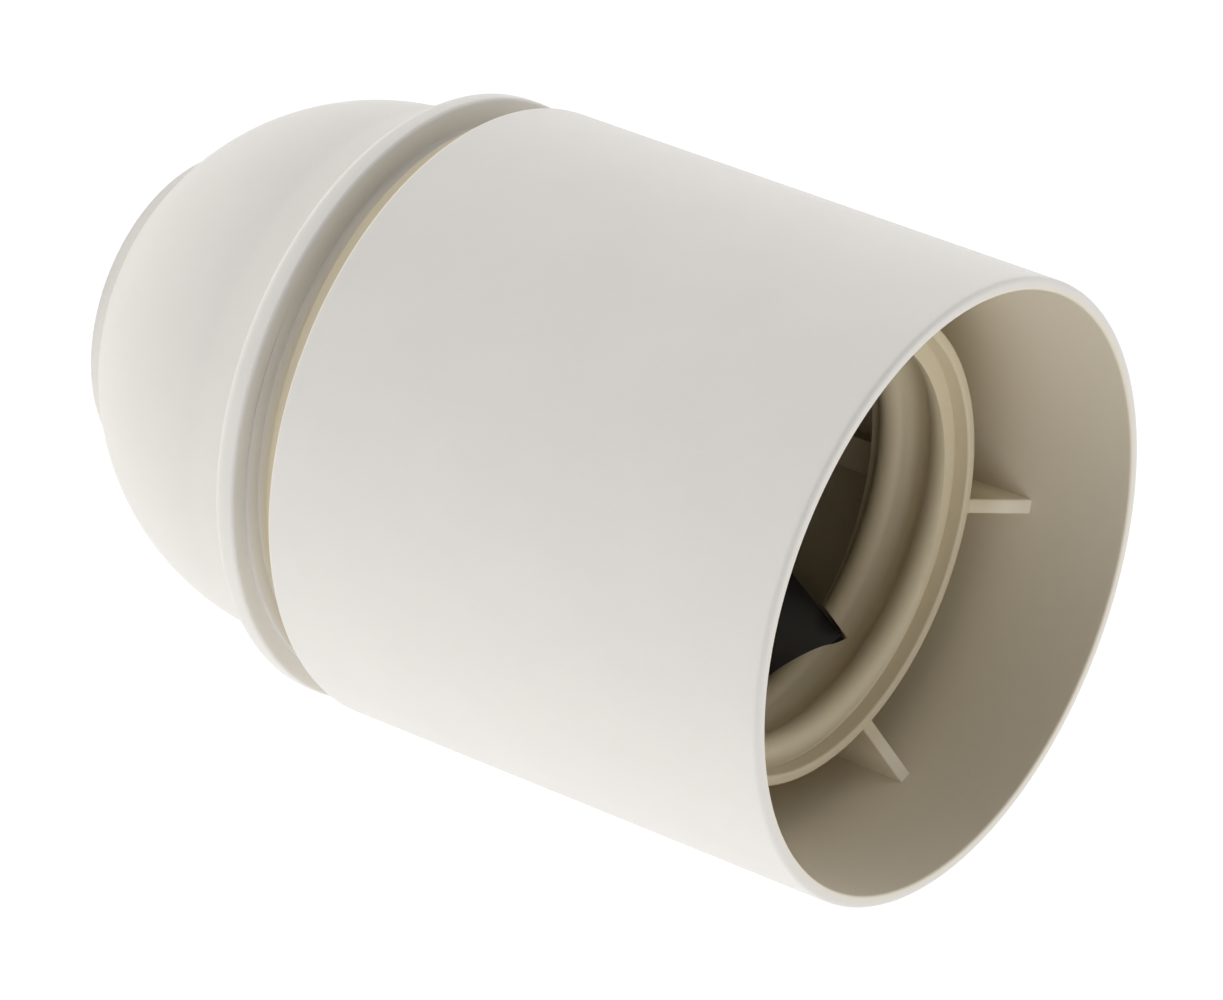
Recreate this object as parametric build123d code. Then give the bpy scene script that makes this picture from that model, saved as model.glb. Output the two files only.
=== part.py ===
from build123d import *
import os
from math import atan2, cos, pi, radians, sin, sqrt

# Screw lamp holder for an E27 lamp, standing on the flat end of its cap with the mouth up.
# Millimetres. Origin at the centre of the cap's flat end, +Z along the axis towards the mouth.
# Angles are degrees about +Z from +X.

# Cap: flat end boss, round dome, flange, and a threaded collar that the skirt screws onto
BOSS_R = 10.05
BOSS_RISE = 1.05
DOME_CENTRE_Z = 14.0
DOME_SIDE_H = 2.8
DOME_DRAFT = 0.3
DOME_MID = 26.0
DOME_LEDGE = 0.6
FLANGE_BEVEL_W = 1.13
FLANGE_BEVEL_H = 0.75
FLANGE_T = 2.0
FLANGE_INSET = 0.17
CAP_WALL = 1.6
CAP_FLOOR = 2.2
COLLAR_H = 8.0
COLLAR_WALL = 1.55
HUB_R = 7.6
HUB_H = 9.5
ENTRY_R = 4.46
ENTRY_BEVEL = 0.5
EDGE_ROUND = 0.2
FLANGE_ROUND = 0.4

# Coarse thread between the collar and the skirt
JOIN_PITCH = 2.2
JOIN_DEPTH = 0.6
JOIN_CREST_W = 0.75
JOIN_BASE_W = 1.25
JOIN_START_H = 2.29
JOIN_RUNOUT = 0.4
JOIN_GAP = 0.15

# Skirt: plain barrel, web, threaded sleeve, gussets and stop ribs in one moulding
SKIRT_GAP = 2.8
SKIRT_L = 34.4
SKIRT_DRAFT = 0.3
JOIN_WALL = 1.7
MOUTH_WALL = 0.75
MOUTH_DRAFT = 0.3
RIM_ROUND = 0.3
THIN_ROUND = 0.15
SLEEVE_DEPTH = 8.5
SLEEVE_L = 6.8
SLEEVE_WALL = 0.8
LEAD_FLARE = 0.14
LEAD_L = 0.9
WEB_T = 1.3
RIB_COUNT = 6
RIB_T = 0.9
RIB_RISE = 2.2
RIB_ANGLE = 11.5
STOP_W = 2.0
STOP_DEPTH = 1.2
ROOT_BITE = 0.3
OVERCUT = 1.0

# Round thread of the lamp: ridges and grooves of the same radius
LAMP_PITCH = 3.629
LAMP_MINOR_R = 12.25
KNUCKLE_DEPTH = 1.15
LAMP_START_H = 0.34
ROOT_LAND_DEPTH = 0.02
LAMP_CAP_CLEAR = 0.2

# Contact block: hub in the collar's bore, rim clamped under the stop ribs, two key towers
BLOCK_WALL = 0.9
HUB_CLEAR = 0.2
RIM_CLEAR = 0.2
RIM_T = 2.4
BLOCK_H = 6.25
FACE_GAP = 0.05
TOWER_ENTRY = 2.2
TOWER_LEFT = 3.6
TOWER_RIGHT = 4.6
TOWER_LEFT_SLOPE = 2.0
TOWER_RIGHT_SLOPE = 0.5
TOWER_CLEAR = 0.05
TOWER_DEPTH = 2.35
TOWER_SWEEP = 0.95
TOWER_RIGHT_SWEEP = 0.3
NOTCH_CLEAR = 0.25
CHANNEL_CLEAR = 0.3
CHANNEL_BACK = 0.55
CHANNEL_ROOF = 2.3
PIN_BOSS_R = 4.6
PIN_BOSS_H = 1.1

# Contact strips, on the block's rear face
STRIP_T = 0.6
STRIP_W = 6.4
TERMINAL_INSET = 5.6
STRIP_OVERHANG = 3.0
SEAT_LAP = 0.8
RIVET_Y = 7.2
RIVET_EAR_R = 2.2
ARC_INSET = 4.0
ARC_W = 2.8
UPRIGHT_W = 4.4
UPRIGHT_H = 3.95
STRIP_CLEAR = 0.1
BEND_R = 0.1

# Side contact: a bowed spring leaf that presses on the lamp's shell, from the block to under the sleeve
LEAF_T = 0.35
LEAF_W = 3.8
LEAF_CLEAR = 0.15
LEAF_PRESS = 0.45
LEAF_FOOT_H = 0.35
LEAF_BEND_H = 4.35
LEAF_TIP_L = 2.2
LEAF_TIP_GAP = 0.5
LEAF_TIP_LEAN = -0.6

# Terminal screws, nuts and clamp plates
SCREW_R = 1.45
THREAD_CLEAR = 0.05
SCREW_CLEAR = 0.2
SCREW_COVER = 1.85
SCREW_POINT = 0.48
HEAD_R = 2.75
HEAD_H = 1.9
HEAD_ROUND = 0.35
SLOT_W = 0.8
SLOT_DEPTH = 1.0
NUT_SIDE = 5.5
NUT_T = 2.0
CLAMP_SIDE = 6.2
CLAMP_T = 0.8
CLAMP_CORNER = 0.5
TAB_W = 3.0
TAB_H = 1.1
TAB_GAP = 0.15
CLAMP_GAP = 0.1
POCKET_CLEAR = 0.1

# Rivets
RIVET_R = 1.0
RIVET_HEAD_R = 1.9
RIVET_HEAD_T = 0.5
RIVET_HEAD_ROUND = 0.4
SIDE_RIVET_R = 0.8
SIDE_RIVET_HEAD_R = 1.5
SIDE_RIVET_HEAD_T = 0.35
SIDE_RIVET_H = 2.15

# Centre contact: a pin that slides in the block on a coil spring
PIN_R = 2.4
PIN_CLEAR = 0.1
PIN_REACH = 3.05
PIN_TIP_ROUND = 1.1
PIN_SHOULDER_W = 0.7
PIN_SHOULDER_T = 0.7
CHAMBER_CLEAR = 0.3
PIN_WALL = 1.3
PIN_TAIL = 1.6
PIN_TAIL_R = 1.9
SPRING_WIRE_R = 0.2
SPRING_CLEAR = 0.45
SPRING_TURNS = 3.5

# Radii that follow, from the lamp outwards
LAMP_MAJOR_R = LAMP_MINOR_R + KNUCKLE_DEPTH
KNUCKLE_R = ((LAMP_PITCH / 2) ** 2 + KNUCKLE_DEPTH ** 2) / (4 * KNUCKLE_DEPTH)
LAMP_CAP_R = LAMP_MAJOR_R - LAMP_CAP_CLEAR
SLEEVE_R = LAMP_MAJOR_R + SLEEVE_WALL
SLEEVE_ROOT_R = LAMP_MAJOR_R - ROOT_LAND_DEPTH
TOWER_FACE_R = LAMP_CAP_R + TOWER_CLEAR
TOWER_BACK_R = TOWER_FACE_R + TOWER_DEPTH
LEAF_FACE_R = LAMP_CAP_R + LEAF_CLEAR
UPRIGHT_FACE_R = LEAF_FACE_R + LEAF_T
UPRIGHT_BACK_R = UPRIGHT_FACE_R + STRIP_T
BLOCK_HUB_R = UPRIGHT_BACK_R + BLOCK_WALL
COLLAR_BORE_R = BLOCK_HUB_R + HUB_CLEAR
COLLAR_R = COLLAR_BORE_R + COLLAR_WALL
SKIRT_BORE_R = COLLAR_R + JOIN_GAP
SKIRT_REAR_R = SKIRT_BORE_R + JOIN_WALL
MOUTH_R = SKIRT_REAR_R - SKIRT_DRAFT
MOUTH_BORE_R = MOUTH_R - MOUTH_WALL
MOUTH_BOTTOM_R = MOUTH_BORE_R - MOUTH_DRAFT
RIM_R = SKIRT_BORE_R - RIM_CLEAR
STOP_INNER_R = SKIRT_BORE_R - STOP_DEPTH
FLANGE_R = SKIRT_REAR_R - FLANGE_INSET
FLANGE_REAR_R = FLANGE_R - FLANGE_BEVEL_W
DOME_R = FLANGE_REAR_R - DOME_LEDGE - DOME_DRAFT
PIN_SHOULDER_R = PIN_R + PIN_SHOULDER_W
CHAMBER_R = PIN_SHOULDER_R + CHAMBER_CLEAR
SEAT_DISC_R = CHAMBER_R + SEAT_LAP
SPRING_R = PIN_TAIL_R + SPRING_CLEAR + SPRING_WIRE_R
ARC_R = BLOCK_HUB_R - ARC_INSET
ARC_INNER_R = ARC_R - ARC_W / 2
ARC_OUTER_R = ARC_R + ARC_W / 2

# Heights that follow, from the cap's end upwards
FLANGE_REAR_Z = DOME_CENTRE_Z + DOME_SIDE_H
FLANGE_FRONT_Z = FLANGE_REAR_Z + FLANGE_T
COLLAR_TOP_Z = FLANGE_FRONT_Z + COLLAR_H
JOIN_START_Z = FLANGE_FRONT_Z + JOIN_START_H - 2 * JOIN_PITCH
SKIRT_REAR_Z = FLANGE_FRONT_Z + SKIRT_GAP
MOUTH_Z = SKIRT_REAR_Z + SKIRT_L
SLEEVE_FRONT_Z = MOUTH_Z - SLEEVE_DEPTH
LEAD_Z = SLEEVE_FRONT_Z - LEAD_L
SLEEVE_REAR_Z = SLEEVE_FRONT_Z - SLEEVE_L
WEB_FRONT_Z = SLEEVE_REAR_Z + WEB_T
RIM_REAR_Z = COLLAR_TOP_Z + FACE_GAP
BLOCK_FRONT_Z = RIM_REAR_Z + RIM_T
BLOCK_REAR_Z = BLOCK_FRONT_Z - BLOCK_H
STOP_Z = BLOCK_FRONT_Z + FACE_GAP
TOWER_TOP_Z = SLEEVE_REAR_Z + TOWER_ENTRY
STRIP_FRONT_Z = BLOCK_REAR_Z + STRIP_T
CLAMP_FRONT_Z = BLOCK_REAR_Z - CLAMP_GAP
CLAMP_REAR_Z = CLAMP_FRONT_Z - CLAMP_T
TAB_FRONT_Z = CLAMP_FRONT_Z + TAB_H
HEAD_FRONT_Z = CLAMP_REAR_Z - FACE_GAP
SCREW_TIP_Z = BLOCK_FRONT_Z - SCREW_COVER
SIDE_RIVET_Z = BLOCK_FRONT_Z + SIDE_RIVET_H
LEAF_TIP_Z = SLEEVE_REAR_Z - LEAF_TIP_GAP
LEAF_CREST_Z = LEAF_TIP_Z - LEAF_TIP_L
CHAMBER_TOP_Z = BLOCK_FRONT_Z - PIN_WALL
SHOULDER_TOP_Z = CHAMBER_TOP_Z - FACE_GAP
SHOULDER_REAR_Z = SHOULDER_TOP_Z - PIN_SHOULDER_T

# Places across the axis that follow
TERMINAL_X = BLOCK_HUB_R - TERMINAL_INSET
PAD_END_X = TERMINAL_X + STRIP_OVERHANG
TAB_FACE_X = PAD_END_X + TAB_GAP
TAB_BACK_X = TAB_FACE_X + CLAMP_T
LIVE_RIVET = (0, RIVET_Y)
NEUTRAL_RIVET = (ARC_R * cos(pi / 4), -ARC_R * sin(pi / 4))


def profile(points, rounds=()):
    """A closed outline of (radius, height) points, with the named corners rounded."""
    face = make_face(Polyline(*points, close=True))
    return round_corners(face, rounds)


def round_corners(face, rounds):
    """Round the corner nearest to each (radius, height) point."""
    for x, z, r in rounds:
        corner = face.vertices().sort_by_distance((x, z, 0))[0]
        face = fillet(corner, r)
    return face


def turned(face):
    """Revolve a (radius, height) outline about the axis."""
    return revolve(Plane.XZ * face, axis=Axis.Z)


def ring(r_out, r_in, z0, z1):
    """A plain tube between two heights."""
    return turned(profile([(r_in, z0), (r_out, z0), (r_out, z1), (r_in, z1)]))


def rod(r, z0, z1, x=0.0, y=0.0):
    """A plain cylinder between two heights."""
    return Pos(x, y, z0) * Cylinder(r, z1 - z0, align=(Align.CENTER, Align.CENTER, Align.MIN))


def block(x0, x1, y0, y1, z0, z1):
    """A box between two corners."""
    size = Box(x1 - x0, y1 - y0, z1 - z0, align=(Align.MIN, Align.MIN, Align.MIN))
    return Pos(x0, y0, z0) * size


def around(shape, count, first):
    """Copies of a shape evenly spaced about the axis."""
    return [shape.rotate(Axis.Z, first + 360 * i / count) for i in range(count)]


def helical(face, pitch, r, z0, turns):
    """Sweep an axial section along a right-handed helix that starts at +X."""
    path = Helix(pitch, pitch * turns, r, center=(0, 0, z0))
    return sweep(Plane.XZ * (Pos(0, z0) * face), path=path, is_frenet=True)


def join_thread(root_r, grow, top_z):
    """The coarse thread's ridge from inside the flange up, grown by its clearance as a cutter."""
    tip_r = COLLAR_R + JOIN_DEPTH + grow
    half_crest = JOIN_CREST_W / 2 + grow
    flank = (JOIN_BASE_W - JOIN_CREST_W) / (2 * JOIN_DEPTH)
    half_root = half_crest + flank * (tip_r - root_r)
    section = make_face(Polyline((root_r, -half_root), (tip_r, -half_crest), (tip_r, half_crest),
                                 (root_r, half_root), close=True))
    return helical(section, JOIN_PITCH, COLLAR_R, JOIN_START_Z, (top_z - JOIN_START_Z) / JOIN_PITCH)


def make_cap():
    """Domed cap: one moulding with flange, threaded collar and the cable-entry hub."""
    boss_top_r = sqrt(DOME_R ** 2 - (DOME_CENTRE_Z - BOSS_RISE) ** 2)
    dome = ThreePointArc((boss_top_r, BOSS_RISE),
                         (DOME_R * cos(radians(DOME_MID)), DOME_CENTRE_Z - DOME_R * sin(radians(DOME_MID))),
                         (DOME_R, DOME_CENTRE_Z))
    rest = Polyline((DOME_R, DOME_CENTRE_Z), (DOME_R + DOME_DRAFT, FLANGE_REAR_Z),
                    (FLANGE_REAR_R, FLANGE_REAR_Z), (FLANGE_R, FLANGE_REAR_Z + FLANGE_BEVEL_H),
                    (FLANGE_R, FLANGE_FRONT_Z), (COLLAR_R, FLANGE_FRONT_Z), (COLLAR_R, COLLAR_TOP_Z),
                    (0, COLLAR_TOP_Z), (0, 0), (BOSS_R, 0), (boss_top_r, BOSS_RISE))
    outer = round_corners(make_face(dome + rest),
                          [(BOSS_R, 0, EDGE_ROUND), (DOME_R + DOME_DRAFT, FLANGE_REAR_Z, EDGE_ROUND),
                           (FLANGE_R, FLANGE_REAR_Z + FLANGE_BEVEL_H, FLANGE_ROUND),
                           (FLANGE_R, FLANGE_FRONT_Z, EDGE_ROUND)])
    inner_r = DOME_R - CAP_WALL
    floor_r = sqrt(inner_r ** 2 - (DOME_CENTRE_Z - CAP_FLOOR) ** 2)
    inner_dome = ThreePointArc((floor_r, CAP_FLOOR),
                               (inner_r * cos(radians(DOME_MID)),
                                DOME_CENTRE_Z - inner_r * sin(radians(DOME_MID))),
                               (inner_r, DOME_CENTRE_Z))
    inner_rest = Polyline((inner_r, DOME_CENTRE_Z), (COLLAR_BORE_R, FLANGE_REAR_Z),
                          (COLLAR_BORE_R, COLLAR_TOP_Z + OVERCUT), (0, COLLAR_TOP_Z + OVERCUT),
                          (0, CAP_FLOOR), (floor_r, CAP_FLOOR))
    cap = turned(outer) - turned(make_face(inner_dome + inner_rest))
    ridge = join_thread(COLLAR_R - ROOT_BITE, 0, COLLAR_TOP_Z)
    cap += ridge & rod(FLANGE_R, FLANGE_FRONT_Z - ROOT_BITE, COLLAR_TOP_Z - JOIN_RUNOUT)
    hub = profile([(0, CAP_FLOOR - ROOT_BITE), (HUB_R, CAP_FLOOR - ROOT_BITE), (HUB_R, HUB_H), (0, HUB_H)],
                  [(HUB_R, HUB_H, EDGE_ROUND)])
    cap += turned(hub)
    bore = profile([(0, -OVERCUT), (ENTRY_R + ENTRY_BEVEL + OVERCUT, -OVERCUT), (ENTRY_R, ENTRY_BEVEL),
                    (ENTRY_R, HUB_H + OVERCUT), (0, HUB_H + OVERCUT)])
    return cap - turned(bore)


def lamp_section():
    """Axial section of the lamp thread's round ridge, down to just under the sleeve's bore."""
    foot_r = LAMP_MAJOR_R - ROOT_LAND_DEPTH / 2
    back_r = foot_r + ROOT_BITE
    groove_x = LAMP_MAJOR_R - KNUCKLE_R
    half = LAMP_PITCH / 2
    tangent = (LAMP_MINOR_R + KNUCKLE_DEPTH / 2, LAMP_PITCH / 4)
    foot = half - sqrt(KNUCKLE_R ** 2 - (foot_r - groove_x) ** 2)
    start_angle = atan2(half - foot, foot_r - groove_x)
    end_angle = atan2(half - tangent[1], tangent[0] - groove_x)
    mid_angle = (start_angle + end_angle) / 2
    mid = (groove_x + KNUCKLE_R * cos(mid_angle), half - KNUCKLE_R * sin(mid_angle))
    lower = ThreePointArc((foot_r, -foot), (mid[0], -mid[1]), (tangent[0], -tangent[1]))
    crest = ThreePointArc((tangent[0], -tangent[1]), (LAMP_MINOR_R, 0), tangent)
    upper = ThreePointArc(tangent, mid, (foot_r, foot))
    back = Polyline((foot_r, foot), (back_r, foot), (back_r, -foot), (foot_r, -foot))
    return make_face(lower + crest + upper + back)


def gable(base_z):
    """Outline of a key tower seen from the axis, as a face in its own plane."""
    left_z = TOWER_TOP_Z - TOWER_LEFT_SLOPE * TOWER_LEFT
    right_z = TOWER_TOP_Z - TOWER_RIGHT_SLOPE * TOWER_RIGHT
    return make_face(Polyline((-TOWER_LEFT, base_z), (-TOWER_LEFT, left_z), (0, TOWER_TOP_Z),
                              (TOWER_RIGHT, right_z), (TOWER_RIGHT, base_z), close=True))


def make_sleeve():
    """The lamp's screw shell seat: a tube with the round thread inside and a lead-in cone."""
    ridge_z = SLEEVE_REAR_Z + LAMP_START_H - LAMP_PITCH
    ridge_turns = (LEAD_Z - ridge_z) / LAMP_PITCH + 1 / 2
    ridge = helical(lamp_section(), LAMP_PITCH, SLEEVE_ROOT_R, ridge_z, ridge_turns)
    tube = ring(SLEEVE_R, SLEEVE_ROOT_R, SLEEVE_REAR_Z, SLEEVE_FRONT_Z)
    tube += ridge & rod(SLEEVE_R, SLEEVE_REAR_Z, LEAD_Z)
    tube -= turned(profile([(0, LEAD_Z), (SLEEVE_ROOT_R, LEAD_Z),
                            (LAMP_MAJOR_R + LEAD_FLARE, SLEEVE_FRONT_Z), (0, SLEEVE_FRONT_Z)]))
    front = tube.edges().filter_by(GeomType.CIRCLE).group_by(Axis.Z)[-1]
    return fillet(front, THIN_ROUND)


def make_skirt():
    """Plain barrel with web, threaded sleeve, gussets, stop ribs and the join thread inside."""
    web_r = SLEEVE_R - ROOT_BITE
    outline = profile([(SKIRT_REAR_R, SKIRT_REAR_Z), (MOUTH_R, MOUTH_Z), (MOUTH_BORE_R, MOUTH_Z),
                       (MOUTH_BOTTOM_R, WEB_FRONT_Z), (web_r, WEB_FRONT_Z), (web_r, SLEEVE_REAR_Z),
                       (SKIRT_BORE_R, SLEEVE_REAR_Z), (SKIRT_BORE_R, SKIRT_REAR_Z)],
                      [(SKIRT_REAR_R, SKIRT_REAR_Z, EDGE_ROUND), (MOUTH_R, MOUTH_Z, RIM_ROUND),
                       (MOUTH_BORE_R, MOUTH_Z, THIN_ROUND), (MOUTH_BOTTOM_R, WEB_FRONT_Z, EDGE_ROUND)])
    skirt = turned(outline)
    groove = join_thread(SKIRT_BORE_R - ROOT_BITE, JOIN_GAP, RIM_REAR_Z + JOIN_PITCH / 2)
    skirt -= groove & rod(SKIRT_REAR_R, SKIRT_REAR_Z - OVERCUT, STOP_Z)
    skirt += make_sleeve()
    bite_z = WEB_FRONT_Z - ROOT_BITE
    gusset = make_face(Polyline((web_r, bite_z), (web_r, SLEEVE_FRONT_Z), (SLEEVE_R, SLEEVE_FRONT_Z),
                                (MOUTH_BORE_R, SLEEVE_FRONT_Z + RIB_RISE), (MOUTH_BORE_R, bite_z),
                                close=True))
    skirt += around(extrude(Plane.XZ * gusset, amount=RIB_T / 2, both=True), RIB_COUNT, RIB_ANGLE)
    stop = block(STOP_INNER_R, SKIRT_BORE_R + ROOT_BITE, -STOP_W / 2, STOP_W / 2,
                 STOP_Z, SLEEVE_REAR_Z + ROOT_BITE)
    skirt += around(stop, RIB_COUNT, RIB_ANGLE)
    opening = offset(gable(BLOCK_FRONT_Z), NOTCH_CLEAR, kind=Kind.INTERSECTION)
    reach = TOWER_BACK_R + NOTCH_CLEAR
    notch = Pos(0, reach, 0) * extrude(Plane.XZ * opening, amount=reach - LAMP_MINOR_R + OVERCUT)
    notch &= rod(reach, SLEEVE_REAR_Z, WEB_FRONT_Z + SLEEVE_L)
    return skirt - around(notch, 2, 0)


def make_tower():
    """One key tower on the +Y side: a prow-shaped post under a lopsided gable."""
    section = make_face(Polyline((0, TOWER_FACE_R), (-TOWER_LEFT, TOWER_FACE_R + TOWER_SWEEP),
                                 (-TOWER_LEFT, TOWER_BACK_R), (TOWER_RIGHT, TOWER_BACK_R),
                                 (TOWER_RIGHT, TOWER_FACE_R + TOWER_RIGHT_SWEEP), close=True))
    base_z = BLOCK_FRONT_Z - ROOT_BITE
    post = Pos(0, 0, base_z) * extrude(section, amount=TOWER_TOP_Z - base_z)
    shape = Pos(0, TOWER_BACK_R, 0) * extrude(Plane.XZ * gable(base_z), amount=TOWER_BACK_R)
    return post & shape & rod(TOWER_BACK_R, base_z, TOWER_TOP_Z)


def live_outline(grow=0.0):
    """Plan of the live strip: terminal pad, spring seat and rivet ear."""
    half = STRIP_W / 2 + grow
    pad = Pos(-(PAD_END_X + grow) / 2, 0) * Rectangle(PAD_END_X + grow, 2 * half)
    ear = Pos(0, RIVET_Y / 2) * Rectangle(2 * (RIVET_EAR_R + grow), RIVET_Y)
    return pad + Circle(SEAT_DISC_R + grow) + ear + Pos(0, RIVET_Y) * Circle(RIVET_EAR_R + grow)


def neutral_outline(grow=0.0):
    """Plan of the neutral strip: terminal pad, quarter arc and the foot of its upright."""
    half = STRIP_W / 2 + grow
    pad_start = TERMINAL_X - STRIP_OVERHANG - grow
    pad = Pos((pad_start + PAD_END_X + grow) / 2, 0) * Rectangle(PAD_END_X + grow - pad_start, 2 * half)
    arc = Circle(ARC_OUTER_R + grow) - Circle(ARC_INNER_R - grow)
    arc &= Pos(ARC_OUTER_R, -ARC_OUTER_R) * Rectangle(2 * ARC_OUTER_R, 2 * ARC_OUTER_R)
    foot_w = UPRIGHT_W + 2 * grow
    foot_l = UPRIGHT_BACK_R + grow - ARC_INNER_R
    foot = Pos(0, -ARC_INNER_R - foot_l / 2) * Rectangle(foot_w, foot_l)
    return pad + arc + foot


def make_block():
    """Black contact block with its pockets, pin guide and two key towers."""
    hub = profile([(0, BLOCK_REAR_Z), (BLOCK_HUB_R, BLOCK_REAR_Z), (BLOCK_HUB_R, RIM_REAR_Z),
                   (RIM_R, RIM_REAR_Z), (RIM_R, BLOCK_FRONT_Z), (0, BLOCK_FRONT_Z)],
                  [(RIM_R, BLOCK_FRONT_Z, EDGE_ROUND), (BLOCK_HUB_R, BLOCK_REAR_Z, EDGE_ROUND)])
    boss_top_z = BLOCK_FRONT_Z + PIN_BOSS_H
    body = turned(hub) + rod(PIN_BOSS_R, BLOCK_FRONT_Z - ROOT_BITE, boss_top_z)
    tower = make_tower()
    body += tower
    body += tower.rotate(Axis.Z, 180)
    for outline in (live_outline(STRIP_CLEAR), neutral_outline(STRIP_CLEAR)):
        body -= Pos(0, 0, STRIP_FRONT_Z) * extrude(outline, amount=-STRIP_T - OVERCUT)
    half_slot = UPRIGHT_W / 2 + STRIP_CLEAR
    body -= block(-half_slot, half_slot, -UPRIGHT_BACK_R - STRIP_CLEAR, -UPRIGHT_FACE_R + STRIP_CLEAR,
                  BLOCK_REAR_Z, BLOCK_FRONT_Z + OVERCUT)
    half_channel = UPRIGHT_W / 2 + CHANNEL_CLEAR
    body -= block(-half_channel, half_channel, CHANNEL_BACK - TOWER_BACK_R, -LAMP_MINOR_R,
                  BLOCK_FRONT_Z, TOWER_TOP_Z - CHANNEL_ROOF)
    nut_half = NUT_SIDE / 2 + POCKET_CLEAR
    tab_half = TAB_W / 2 + STRIP_CLEAR
    for side in (-1, 1):
        x = TERMINAL_X * side
        tab_end = (TAB_BACK_X + STRIP_CLEAR) * side
        body -= block(x - nut_half, x + nut_half, -nut_half, nut_half, STRIP_FRONT_Z, STRIP_FRONT_Z + NUT_T)
        body -= rod(SCREW_R + SCREW_CLEAR, STRIP_FRONT_Z, SCREW_TIP_Z + SCREW_CLEAR, x)
        body -= block(min(x, tab_end), max(x, tab_end), -tab_half, tab_half,
                      BLOCK_REAR_Z, TAB_FRONT_Z + STRIP_CLEAR)
    body -= rod(CHAMBER_R, BLOCK_REAR_Z, CHAMBER_TOP_Z)
    body -= rod(PIN_R + PIN_CLEAR, CHAMBER_TOP_Z, boss_top_z + OVERCUT)
    for x, y in (LIVE_RIVET, NEUTRAL_RIVET):
        body -= rod(RIVET_R + THREAD_CLEAR, BLOCK_REAR_Z, BLOCK_FRONT_Z + OVERCUT, x, y)
        body -= rod(RIVET_HEAD_R + STRIP_CLEAR, BLOCK_FRONT_Z - RIVET_HEAD_T, BLOCK_FRONT_Z + OVERCUT, x, y)
    return body


def folded(sheet, axis, outside, inside, thickness):
    """Round a square fold of sheet metal at the edges nearest to its outside and inside points."""
    for point, r in ((outside, BEND_R + thickness), (inside, BEND_R)):
        edge = sheet.edges().filter_by(axis).sort_by_distance(point)[0]
        sheet = fillet(edge, r)
    return sheet


def strip_hole(r, x, y):
    """A cutter through a strip."""
    return rod(r, BLOCK_REAR_Z - OVERCUT, STRIP_FRONT_Z + OVERCUT, x, y)


def make_live_strip():
    """Brass strip from the live terminal to the seat of the centre spring."""
    plate = Pos(0, 0, BLOCK_REAR_Z) * extrude(live_outline(), amount=STRIP_T)
    plate -= strip_hole(SCREW_R + SCREW_CLEAR, -TERMINAL_X, 0)
    return plate - strip_hole(RIVET_R + THREAD_CLEAR, *LIVE_RIVET)


def make_neutral_strip():
    """Brass strip from the neutral terminal round to an upright behind the side contact."""
    plate = Pos(0, 0, BLOCK_REAR_Z) * extrude(neutral_outline(), amount=STRIP_T)
    plate += block(-UPRIGHT_W / 2, UPRIGHT_W / 2, -UPRIGHT_BACK_R, -UPRIGHT_FACE_R,
                   BLOCK_REAR_Z, BLOCK_FRONT_Z + UPRIGHT_H)
    plate = folded(plate, Axis.X, (0, -UPRIGHT_BACK_R, BLOCK_REAR_Z), (0, -UPRIGHT_FACE_R, STRIP_FRONT_Z),
                   STRIP_T)
    plate -= strip_hole(SCREW_R + SCREW_CLEAR, TERMINAL_X, 0)
    plate -= strip_hole(RIVET_R + THREAD_CLEAR, *NEUTRAL_RIVET)
    return plate - side_rod(SIDE_RIVET_R + THREAD_CLEAR, LEAF_FACE_R, UPRIGHT_BACK_R + OVERCUT)


def side_rod(r, near, far):
    """A cylinder along -Y at the side rivet's height, between two distances from the axis."""
    pin = Cylinder(r, far - near, align=(Align.CENTER, Align.CENTER, Align.MIN))
    return Pos(0, -near, SIDE_RIVET_Z) * Rot(90, 0, 0) * pin


def leaf_line(y):
    """The leaf's bowed line on the -Y side, for the face that lies at y along its foot."""
    bend = (y, BLOCK_FRONT_Z + LEAF_BEND_H)
    crest = (y + LEAF_CLEAR + LEAF_PRESS, LEAF_CREST_Z)
    return Line((y, BLOCK_FRONT_Z + LEAF_FOOT_H), bend) + Spline(
        bend, crest, (y, LEAF_TIP_Z), tangents=((0, 1), (LEAF_TIP_LEAN, 1)))


def make_side_contact():
    """Bowed bronze leaf, riveted to the upright, with its crest in the lamp shell's path."""
    front = leaf_line(-LEAF_FACE_R)
    back = leaf_line(-UPRIGHT_FACE_R)
    ends = Line(front @ 0, back @ 0) + Line(front @ 1, back @ 1)
    leaf = extrude(Plane.YZ * make_face(front + back + ends), amount=LEAF_W / 2, both=True)
    return leaf - side_rod(SIDE_RIVET_R + THREAD_CLEAR, LEAF_FACE_R - OVERCUT, UPRIGHT_BACK_R)


def make_rivet(x, y):
    """Rivet with a round head under the strip and its upset head flush in the block's front."""
    pin = rod(RIVET_R, BLOCK_REAR_Z - RIVET_HEAD_T, BLOCK_FRONT_Z, x, y)
    head = rod(RIVET_HEAD_R, BLOCK_REAR_Z - RIVET_HEAD_T, BLOCK_REAR_Z, x, y)
    head = fillet(head.edges().sort_by(Axis.Z)[:1], RIVET_HEAD_ROUND)
    return pin + head + rod(RIVET_HEAD_R, BLOCK_FRONT_Z - RIVET_HEAD_T, BLOCK_FRONT_Z, x, y)


def make_side_rivet():
    """Short rivet through the leaf and the upright."""
    near = LEAF_FACE_R - SIDE_RIVET_HEAD_T
    far = UPRIGHT_BACK_R + SIDE_RIVET_HEAD_T
    heads = side_rod(SIDE_RIVET_HEAD_R, near, LEAF_FACE_R) + side_rod(SIDE_RIVET_HEAD_R, UPRIGHT_BACK_R, far)
    return heads + side_rod(SIDE_RIVET_R, near, far)


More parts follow.
